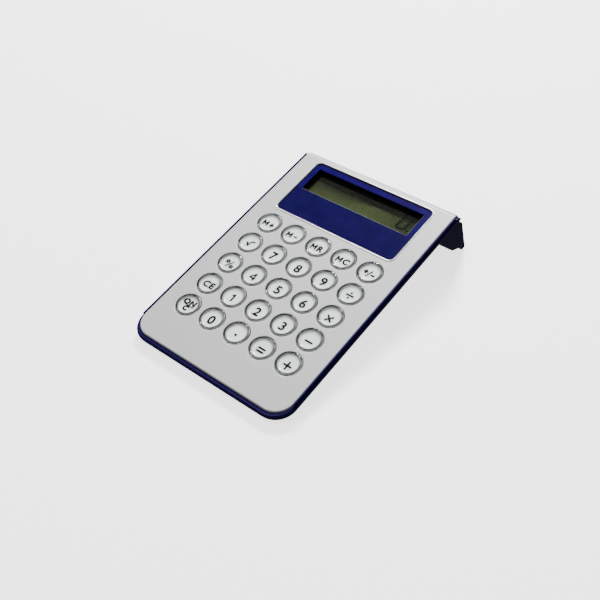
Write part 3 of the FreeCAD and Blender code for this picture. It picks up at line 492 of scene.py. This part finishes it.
def growMesh(tree, values, name):
    # runs a tree once and keeps what it made as a plain mesh
    seed = bpy.data.objects.new(name + "Seed", bpy.data.meshes.new(name + "Seed"))
    bpy.context.scene.collection.objects.link(seed)
    grower = seed.modifiers.new("grower", "NODES")
    grower.node_group = tree
    for socket in tree.interface.items_tree:
        if socket.in_out == "INPUT" and socket.name in values:
            grower[socket.identifier] = values[socket.name]
    bpy.context.view_layer.update()
    grown = bpy.data.meshes.new_from_object(seed.evaluated_get(bpy.context.evaluated_depsgraph_get()))
    bpy.data.objects.remove(seed)
    return grown


def makeBeadTree():
    # a round bead that follows a rectangle with rounded corners
    tree, given, outlet = startTree("outlineBead", {
        "Across": "Float", "Along": "Float", "Corner": "Float", "Bead": "Float", "Middle": "Vector",
        "Material": "Material"})
    outline = addNode(tree, "GeometryNodeCurvePrimitiveQuadrilateral",
                      {"Width": given["Across"], "Height": given["Along"]}).outputs[0]
    soft = addNode(tree, "GeometryNodeFilletCurve", mode="POLY")
    soft.inputs["Count"].default_value = 10
    tree.links.new(outline, soft.inputs["Curve"])
    tree.links.new(given["Corner"], soft.inputs["Radius"])
    section = addNode(tree, "GeometryNodeCurvePrimitiveCircle", {"Resolution": 10, "Radius": given["Bead"]})
    tube = addNode(tree, "GeometryNodeCurveToMesh",
                   {"Curve": soft.outputs[0], "Profile Curve": section.outputs[0]}).outputs[0]
    placed = addNode(tree, "GeometryNodeTransform", {"Geometry": tube, "Translation": given["Middle"]})
    endTree(tree, placed.outputs[0], given["Material"], outlet)
    return tree


def makeBarTree():
    # a row of round-sectioned bars, each a step on from the last
    tree, given, outlet = startTree("barRow", {
        "Count": "Int", "First": "Vector", "Step": "Vector", "Reach": "Vector", "Thick": "Float",
        "Material": "Material"})
    line = addNode(tree, "GeometryNodeMeshLine", {"Count": given["Count"], "Start Location": given["First"],
                                                  "Offset": given["Step"]}, mode="OFFSET").outputs[0]
    bar = addNode(tree, "GeometryNodeCurvePrimitiveLine", {"End": given["Reach"]}).outputs[0]
    section = addNode(tree, "GeometryNodeCurvePrimitiveCircle", {"Resolution": 8, "Radius": given["Thick"]})
    solid = addNode(tree, "GeometryNodeCurveToMesh", {"Curve": bar, "Profile Curve": section.outputs[0],
                                                      "Fill Caps": True}).outputs[0]
    spread = addNode(tree, "GeometryNodeInstanceOnPoints", {"Points": line, "Instance": solid}).outputs[0]
    endTree(tree, spread, given["Material"], outlet)
    return tree


def makeCombTree(barTree):
    # one comb of contact fingers under every key
    tree, given, outlet = startTree("contactCombs", {
        "Pitch Across": "Float", "Pitch Along": "Float", "Fingers": "Int", "Finger Length": "Float",
        "Finger Gap": "Float", "Finger Thick": "Float", "Height": "Float", "Material": "Material"})
    across = addMath(tree, "MULTIPLY", given["Pitch Across"], 4.0)
    along = addMath(tree, "MULTIPLY", given["Pitch Along"], 4.0)
    grid = addNode(tree, "GeometryNodeMeshGrid", {"Size X": across, "Size Y": along, "Vertices X": 5,
                                                  "Vertices Y": 5}).outputs[0]
    less = addMath(tree, "ADD", given["Fingers"], -1.0)
    half = addMath(tree, "MULTIPLY", less, -0.5)
    start = addMath(tree, "MULTIPLY", half, given["Finger Gap"])
    back = addMath(tree, "MULTIPLY", given["Finger Length"], -0.5)
    first = addNode(tree, "ShaderNodeCombineXYZ", {"X": start, "Y": back}).outputs[0]
    step = addNode(tree, "ShaderNodeCombineXYZ", {"X": given["Finger Gap"]}).outputs[0]
    reach = addNode(tree, "ShaderNodeCombineXYZ", {"Y": given["Finger Length"]}).outputs[0]
    comb = addNode(tree, "GeometryNodeGroup", node_tree=barTree)
    for label, value in (("Count", given["Fingers"]), ("First", first), ("Step", step), ("Reach", reach),
                         ("Thick", given["Finger Thick"]), ("Material", given["Material"])):
        tree.links.new(value, comb.inputs[label])
    lift = addNode(tree, "ShaderNodeCombineXYZ", {"Z": given["Height"]}).outputs[0]
    raised = addNode(tree, "GeometryNodeTransform", {"Geometry": grid, "Translation": lift}).outputs[0]
    spread = addNode(tree, "GeometryNodeInstanceOnPoints", {"Points": raised, "Instance": comb.outputs[0]})
    endTree(tree, spread.outputs[0], given["Material"], outlet)
    return tree


def makeInsertTree():
    # a dished insert: a drum whose top sinks towards its middle
    tree, given, outlet = startTree("dishedInsert", {
        "Radius": "Float", "Depth": "Float", "Dish": "Float", "Steepness": "Float", "Middle": "Vector",
        "Material": "Material"})
    drum = addNode(tree, "GeometryNodeMeshCylinder", {
        "Vertices": 56, "Side Segments": 1, "Fill Segments": 14, "Radius": given["Radius"],
        "Depth": given["Depth"]}).outputs["Mesh"]
    place = addNode(tree, "GeometryNodeInputPosition").outputs[0]
    parts = addNode(tree, "ShaderNodeSeparateXYZ", {"Vector": place}).outputs
    flat = addNode(tree, "ShaderNodeCombineXYZ", {"X": parts["X"], "Y": parts["Y"]}).outputs[0]
    away = addNode(tree, "ShaderNodeVectorMath", {0: flat}, operation="LENGTH").outputs["Value"]
    share = addMath(tree, "DIVIDE", away, given["Radius"])
    curve = addMath(tree, "POWER", share, given["Steepness"])
    sink = addMath(tree, "MULTIPLY", addMath(tree, "SUBTRACT", curve, 1.0), given["Dish"])
    onTop = addMath(tree, "GREATER_THAN", parts["Z"], 0.0)
    move = addNode(tree, "ShaderNodeCombineXYZ", {"Z": sink}).outputs[0]
    sunk = addNode(tree, "GeometryNodeSetPosition", {"Geometry": drum, "Selection": onTop,
                                                     "Offset": move}).outputs[0]
    soft = addNode(tree, "GeometryNodeSetShadeSmooth", {"Geometry": sunk}).outputs[0]
    placed = addNode(tree, "GeometryNodeTransform", {"Geometry": soft, "Translation": given["Middle"]})
    endTree(tree, placed.outputs[0], given["Material"], outlet)
    return tree


beadTree = makeBeadTree()
barTree = makeBarTree()
combTree = makeCombTree(barTree)
insertTree = makeInsertTree()
print("node trees built")


# Flat prints: strokes and letters.
def strokeMesh(strokes, width, thick, points=0.0):
    # each stroke is a closed flat bar from one spot to another; points draws its ends out to a tip
    drawn = bmesh.new()
    for ax, ay, bx, by in strokes:
        start, end = Vector((ax, ay)), Vector((bx, by))
        ahead = (end - start).normalized()
        side = Vector((-ahead.y, ahead.x)) * width / 2
        rim = [start - side, end - side, end + side, start + side]
        if points:
            rim = [start, start - side + ahead * points, end - side - ahead * points, end,
                   end + side - ahead * points, start + side + ahead * points]
        low = [drawn.verts.new((spot.x, spot.y, 0.0)) for spot in rim]
        high = [drawn.verts.new((spot.x, spot.y, thick)) for spot in rim]
        drawn.faces.new(list(reversed(low)))
        drawn.faces.new(high)
        for k in range(len(rim)):
            nextK = (k + 1) % len(rim)
            drawn.faces.new([low[k], low[nextK], high[nextK], high[k]])
    mesh = bpy.data.meshes.new("strokes")
    drawn.to_mesh(mesh)
    drawn.free()
    return mesh


def letterMesh(words, height, swell, thick, squeeze=1.0):
    writing = bpy.data.curves.new("writing", "FONT")
    writing.body = words
    writing.size = height
    writing.offset = swell
    writing.extrude = thick / 2
    writing.resolution_u = 4
    writing.space_character = 1.12
    holder = bpy.data.objects.new("writing", writing)
    bpy.context.scene.collection.objects.link(holder)
    bpy.context.view_layer.update()
    mesh = bpy.data.meshes.new_from_object(holder.evaluated_get(bpy.context.evaluated_depsgraph_get()))
    bpy.data.objects.remove(holder)
    xs = [corner.co.x for corner in mesh.vertices]
    ys = [corner.co.y for corner in mesh.vertices]
    middle = Vector(((min(xs) + max(xs)) / 2, (min(ys) + max(ys)) / 2, -thick / 2))
    mesh.transform(Matrix.Diagonal((squeeze, 1.0, 1.0, 1.0)) @ Matrix.Translation(-middle))
    return mesh


def moved(mesh, x, y, z=0.0):
    mesh.transform(Matrix.Translation((x, y, z)))
    return mesh


# Keys: a pearl insert under each clear cap, with its legend printed on it.
legendPrint = {"letter": 6.9, "wide": 5.0, "swell": 0.2, "stroke": 1.0, "thick": 0.06, "forward": -0.55,
               "signForward": -1.1, "lift": 0.1}
insertSize = {"radius": 5.9, "dish": 1.15, "steepness": 8.0, "rim": 0.45, "bottom": -0.95}


def legendMesh(words):
    thick, bar = legendPrint["thick"], legendPrint["stroke"]
    drawings = {
        "plus": lambda: strokeMesh([(-2.5, 0, 2.5, 0), (0, -2.5, 0, -0.43), (0, 0.43, 0, 2.5)], bar, thick),
        "minus": lambda: strokeMesh([(-2.3, 0, 2.3, 0)], bar, thick),
        "equals": lambda: strokeMesh([(-2.3, 0.9, 2.3, 0.9), (-2.3, -0.9, 2.3, -0.9)], bar, thick),
        "times": lambda: strokeMesh([(-1.8, -1.8, 1.8, 1.8), (-1.8, 1.8, -0.31, 0.31),
                                     (0.31, -0.31, 1.8, -1.8)], bar, thick),
        "divide": lambda: joinMeshes([strokeMesh([(-2.3, 0, 2.3, 0)], bar * 0.95, thick),
                                      dotMesh(0, 1.6, 0.6, thick), dotMesh(0, -1.6, 0.6, thick)], "divide"),
        "point": lambda: dotMesh(0, -0.35, 0.72, thick),
        "root": lambda: strokeMesh([(-2.3, 0.1, -1.5, 0.45), (-1.5, 0.6, -0.5, -1.9),
                                    (-0.5, -1.7, 0.45, 1.8), (0.4, 1.9, 2.5, 1.9)], bar * 0.9, thick),
        "four": lambda: strokeMesh([(-1.75, -0.9, 1.8, -0.9), (0.8, -2.35, 0.8, 2.35),
                                    (-1.7, -0.8, 0.75, 2.2)], bar * 0.85, thick),
        "one": lambda: strokeMesh([(0.2, -2.35, 0.2, 2.35), (-1.25, 1.15, 0.35, 2.2)], bar, thick),
        "percent": lambda: joinMeshes([
            moved(letterMesh("o", 4.1, 0.3, thick), -1.8, 1.15),
            strokeMesh([(-1.5, -2.3, 1.5, 2.3)], 0.75, thick),
            moved(letterMesh("o", 4.1, 0.3, thick), 1.8, -1.15)], "percent"),
        "onClear": lambda: joinMeshes([
            moved(letterMesh("ON", 4.3, 0.26, thick, 1.05), -0.5, 2.25),
            strokeMesh([(-3.4, 0.7, 3.2, 0.1)], 0.5, thick),
            moved(letterMesh("C", 4.0, 0.26, thick, 1.05), -0.3, -1.5)], "onClear"),
        "sign": lambda: joinMeshes([
            strokeMesh([(-3.5, 0.5, -0.9, 0.5), (-2.2, -0.8, -2.2, 0.02),
                        (-2.2, 0.98, -2.2, 1.8)], 0.98, thick),
            strokeMesh([(-0.9, -2.2, 0.95, 2.2)], 0.8, thick),
            strokeMesh([(1.2, -0.4, 3.4, -0.4)], 0.98, thick)], "sign"),
    }
    if words in drawings:
        return drawings[words]()
    if words[0] == "M":
        return memoryMesh(words[1], thick)
    if len(words) > 1:
        return letterMesh(words, legendPrint["wide"], legendPrint["swell"] * 1.2, thick, 1.1)
    return letterMesh(words, legendPrint["letter"], legendPrint["swell"], thick, 1.08)


def memoryMesh(sign, thick):
    # M drawn as four bars, then the letter or sign after it
    initial = strokeMesh([(-3.5, -1.8, -3.5, 1.8), (-3.4, 1.6, -2.2, -0.7), (-2.2, -0.7, -1.0, 1.6),
                          (-0.9, -1.8, -0.9, 1.8)], 0.86, thick)
    if sign == "+":
        second = strokeMesh([(0.4, 0, 3.2, 0), (1.8, -1.4, 1.8, -0.38), (1.8, 0.38, 1.8, 1.4)], 0.92, thick)
    elif sign == "-":
        second = strokeMesh([(0.6, 0, 2.8, 0)], 0.95, thick)
    else:
        second = moved(letterMesh(sign, legendPrint["wide"], legendPrint["swell"] * 1.2, thick, 1.05), 2.0, 0)
    return joinMeshes([initial, second], "memory")


def dotMesh(x, y, radius, thick):
    drawn = bmesh.new()
    bmesh.ops.create_cone(drawn, cap_ends=True, segments=20, radius1=radius, radius2=radius, depth=thick,
                          matrix=Matrix.Translation((x, y, thick / 2)))
    mesh = bpy.data.meshes.new("dot")
    drawn.to_mesh(mesh)
    drawn.free()
    return mesh


legendOf = {
    "key_on_clear": "onClear", "key_0": "0", "key_point": "point", "key_equals": "equals", "key_plus": "plus",
    "key_clear_entry": "CE", "key_1": "one", "key_2": "2", "key_3": "3", "key_minus": "minus",
    "key_percent": "percent", "key_4": "four", "key_5": "5", "key_6": "6", "key_multiply": "times",
    "key_square_root": "root", "key_7": "7", "key_8": "8", "key_9": "9", "key_divide": "divide",
    "key_memory_plus": "M+", "key_memory_minus": "M-", "key_memory_recall": "MR", "key_memory_clear": "MC",
    "key_sign": "sign",
}
signWords = ("plus", "minus", "equals", "times")


def layOnDish(mesh, x, y):
    # a flat print bends down onto the insert's dish
    for corner in mesh.vertices:
        away = math.hypot(corner.co.x - x, corner.co.y - y) / insertSize["radius"]
        sink = insertSize["dish"] * (away ** insertSize["steepness"] - 1.0)
        corner.co.z += insertSize["rim"] + sink + legendPrint["lift"]
    return mesh


insertDepth = insertSize["rim"] - insertSize["bottom"]
for keyName in keyBodies:
    x, y = keyMiddle(keyName)
    insert = growMesh(insertTree, {
        "Radius": insertSize["radius"], "Depth": insertDepth, "Dish": insertSize["dish"],
        "Steepness": insertSize["steepness"], "Middle": (x, y, insertSize["rim"] - insertDepth / 2),
        "Material": pearlFinish}, keyName)
    addPiece(keyName + "_insert", insert, pearlFinish, keyName)
    words = legendOf[keyName]
    forward = legendPrint["signForward" if words in signWords else "forward"]
    legend = moved(legendMesh(words), x, y + forward)
    addPiece(keyName + "_legend", layOnDish(legend, x, y), inkFinish, keyName)
print("legends printed on", len(keyBodies), "keys")


# Display: the digit and its point, and beads of painted shade and painted highlight round the panel and its
# window.
digitLook = {"left": 23.9, "right": 28.7, "bottom": 66.0, "top": 76.9, "lean": 0.085, "width": 1.5,
             "gap": 0.16, "tip": 0.3, "height": -3.85, "thick": 0.02}
pointLook = {"across": 30.9, "below": 0.45, "above": 0.5, "width": 0.95}


def digitStrokes(look):
    # the six strokes of a leaning seven-stroke nought
    middle = (look["bottom"] + look["top"]) / 2
    lean, gap = look["lean"], look["gap"]

    def spot(x, y):
        return x + (y - look["bottom"]) * lean, y

    pairs = [
        ((look["left"] + gap, look["bottom"]), (look["right"] - gap, look["bottom"])),
        ((look["left"] + gap, look["top"]), (look["right"] - gap, look["top"])),
        ((look["left"], look["bottom"] + gap), (look["left"], middle - gap)),
        ((look["left"], middle + gap), (look["left"], look["top"] - gap)),
        ((look["right"], look["bottom"] + gap), (look["right"], middle - gap)),
        ((look["right"], middle + gap), (look["right"], look["top"] - gap)),
    ]
    return [(*spot(*a), *spot(*b)) for a, b in pairs]


digit = strokeMesh(digitStrokes(digitLook), digitLook["width"], digitLook["thick"], digitLook["tip"])
mark = strokeMesh([(pointLook["across"], digitLook["bottom"] - pointLook["below"],
                    pointLook["across"], digitLook["bottom"] + pointLook["above"])],
                  pointLook["width"], digitLook["thick"])
shown = moved(joinMeshes([digit, mark], "digit"), 0, 0, digitLook["height"])
addPiece("display_digit", shown, segmentFinish, "case")

panelEdge = {"across": 75.4, "front": 43.1, "back": 81.8, "corner": 2.9, "gapShade": 0.42,
             "gapShadeHeight": -0.16, "gapShadeOut": 0.1, "highlight": 0.3, "highlightHeight": 0.1, "highlightOut": 0.6}


def panelBead(name, grow, bead, height, material):
    along = panelEdge["back"] - panelEdge["front"] + 2 * grow
    middle = (0.0, (panelEdge["back"] + panelEdge["front"]) / 2, height)
    mesh = growMesh(beadTree, {
        "Across": panelEdge["across"] + 2 * grow, "Along": along, "Corner": panelEdge["corner"] + grow,
        "Bead": bead, "Middle": middle, "Material": material}, name)
    addPiece(name, mesh, material, "case")


# painted shade: a black bead in the gap round the panel stands for the shade in that gap
panelBead("display_gap_shade", panelEdge["gapShadeOut"], panelEdge["gapShade"], panelEdge["gapShadeHeight"],
          gapShadeFinish)
# painted highlight, partly real: a whiter metal bead lit by the lamps, for the gleam on the plate's edge
# round the opening
panelBead("display_opening_highlight_bead", panelEdge["highlightOut"], panelEdge["highlight"], panelEdge["highlightHeight"],
          highlightBeadFinish)

# a dark lip of the case runs beside both long edges of the plate
lipLook = {"half": 49.05, "front": -48.4, "back": 84.0, "bead": 0.5, "height": -0.15}
lip = growMesh(barTree, {
    "Count": 2, "First": (-lipLook["half"], lipLook["front"], lipLook["height"]),
    "Step": (2 * lipLook["half"], 0.0, 0.0), "Reach": (0.0, lipLook["back"] - lipLook["front"], 0.0),
    "Thick": lipLook["bead"], "Material": navyFinish}, "lip")
addPiece("case_lip_bead", lip, navyFinish, "case")

# painted highlight: a grey bead along the window's front lip and right edge stands for the light caught on
# the lip's rounded edge
lipHighlightLook = {"half": 34.25, "front": 61.32, "back": 77.6, "height": -0.36, "thick": 0.15}
lipHighlightFinish = surfaceFinish({
    "name": "greyLipHighlight", "colour": (0.07, 0.08, 0.10), "drift": 0.06, "driftSize": 8.0,
    "grainSize": 0.2, "grainDepth": 0.003, "roughness": 0.4, "roughSpread": 0.06})
lipHighlightAlong = growMesh(barTree, {
    "Count": 1, "First": (-lipHighlightLook["half"], lipHighlightLook["front"], lipHighlightLook["height"]),
    "Reach": (2 * lipHighlightLook["half"], 0.0, 0.0), "Thick": lipHighlightLook["thick"],
    "Material": lipHighlightFinish}, "lipHighlightAlong")
lipHighlightSide = growMesh(barTree, {
    "Count": 1, "First": (lipHighlightLook["half"], lipHighlightLook["front"], lipHighlightLook["height"]),
    "Reach": (0.0, lipHighlightLook["back"] - lipHighlightLook["front"], 0.0), "Thick": lipHighlightLook["thick"] * 0.6,
    "Material": lipHighlightFinish}, "lipHighlightSide")
addPiece("display_window_lip_highlight", joinMeshes([lipHighlightAlong, lipHighlightSide], "lipHighlight"), lipHighlightFinish, "case")
print("display dressed")


# Inside: gold combs on the board under each key.
combLook = {"pitchAcross": 16.4, "pitchAlong": 16.0, "fingers": 7, "length": 4.2, "gap": 0.62,
            "thick": 0.12, "sunk": 0.03}
boardTop = slabSpread("circuit_board")[1].z
combs = growMesh(combTree, {
    "Pitch Across": combLook["pitchAcross"], "Pitch Along": combLook["pitchAlong"],
    "Fingers": combLook["fingers"], "Finger Length": combLook["length"], "Finger Gap": combLook["gap"],
    "Finger Thick": combLook["thick"], "Height": boardTop - combLook["sunk"],
    "Material": goldFinish}, "combs")
addPiece("board_contact_combs", combs, goldFinish, "case")
print("board dressed")


# Floor, lights and camera.
floorLook = {"half": 4.0, "drop": 0.00005, "colour": (0.80, 0.80, 0.81), "glow": 2.2}
floorMesh = bpy.data.meshes.new("floor")
half = floorLook["half"]
floorCorners = [(-half, -half, 0), (half, -half, 0), (half, half, 0), (-half, half, 0)]
floorMesh.from_pydata(floorCorners, [], [(0, 1, 2, 3)])
floorFinish = surfaceFinish({
    "name": "paleFloor", "colour": floorLook["colour"], "drift": 0.004, "driftSize": 300.0,
    "grainSize": 1.5, "grainDepth": 0.01, "roughness": 0.7, "roughSpread": 0.03})
floorShader = floorFinish.node_tree.nodes["Principled BSDF"]
floorShader.inputs["Emission Color"].default_value = (1.0, 1.0, 1.0, 1.0)
floorShader.inputs["Emission Strength"].default_value = floorLook["glow"]
floorMesh.materials.append(floorFinish)
floor = bpy.data.objects.new("floor", floorMesh)
floor.location.z = -floorLook["drop"]
floor.visible_diffuse = False
floor.visible_glossy = False
bpy.context.scene.collection.objects.link(floor)

roomLook = {"colour": (0.96, 0.97, 1.0, 1.0), "strength": 0.14}
world = bpy.data.worlds.new("softRoom")
world.use_nodes = True
background = world.node_tree.nodes["Background"]
background.inputs["Color"].default_value = roomLook["colour"]
background.inputs["Strength"].default_value = roomLook["strength"]
bpy.context.scene.world = world

lampsLook = {
    "backLeft": {"place": (-0.41, 0.876, 0.87), "size": 0.35, "power": 38.0},
    "overhead": {"place": (-0.35, -0.45, 1.35), "size": 0.8, "power": 8.0},
}
for lampName, look in lampsLook.items():
    light = bpy.data.lights.new(lampName, "AREA")
    light.shape = "DISK"
    light.size = look["size"]
    light.energy = look["power"]
    lamp = bpy.data.objects.new(lampName, light)
    lamp.location = look["place"]
    aim = Vector((0.0, 0.0, 0.015)) - Vector(look["place"])
    lamp.rotation_euler = aim.to_track_quat("-Z", "Y").to_euler()
    bpy.context.scene.collection.objects.link(lamp)

cameraLook = {"place": (0.22555, -0.24466, 0.31855), "turn": (45.559, 3.481, 39.621), "lens": 53.332}
eye = bpy.data.cameras.new("eye")
eye.lens = cameraLook["lens"]
eye.sensor_width = 36.0
eye.clip_start = 0.01
eye.clip_end = 20.0
camera = bpy.data.objects.new("eye", eye)
camera.location = cameraLook["place"]
camera.rotation_euler = [math.radians(a) for a in cameraLook["turn"]]
bpy.context.scene.collection.objects.link(camera)
bpy.context.scene.camera = camera
print("floor, lights and camera set")
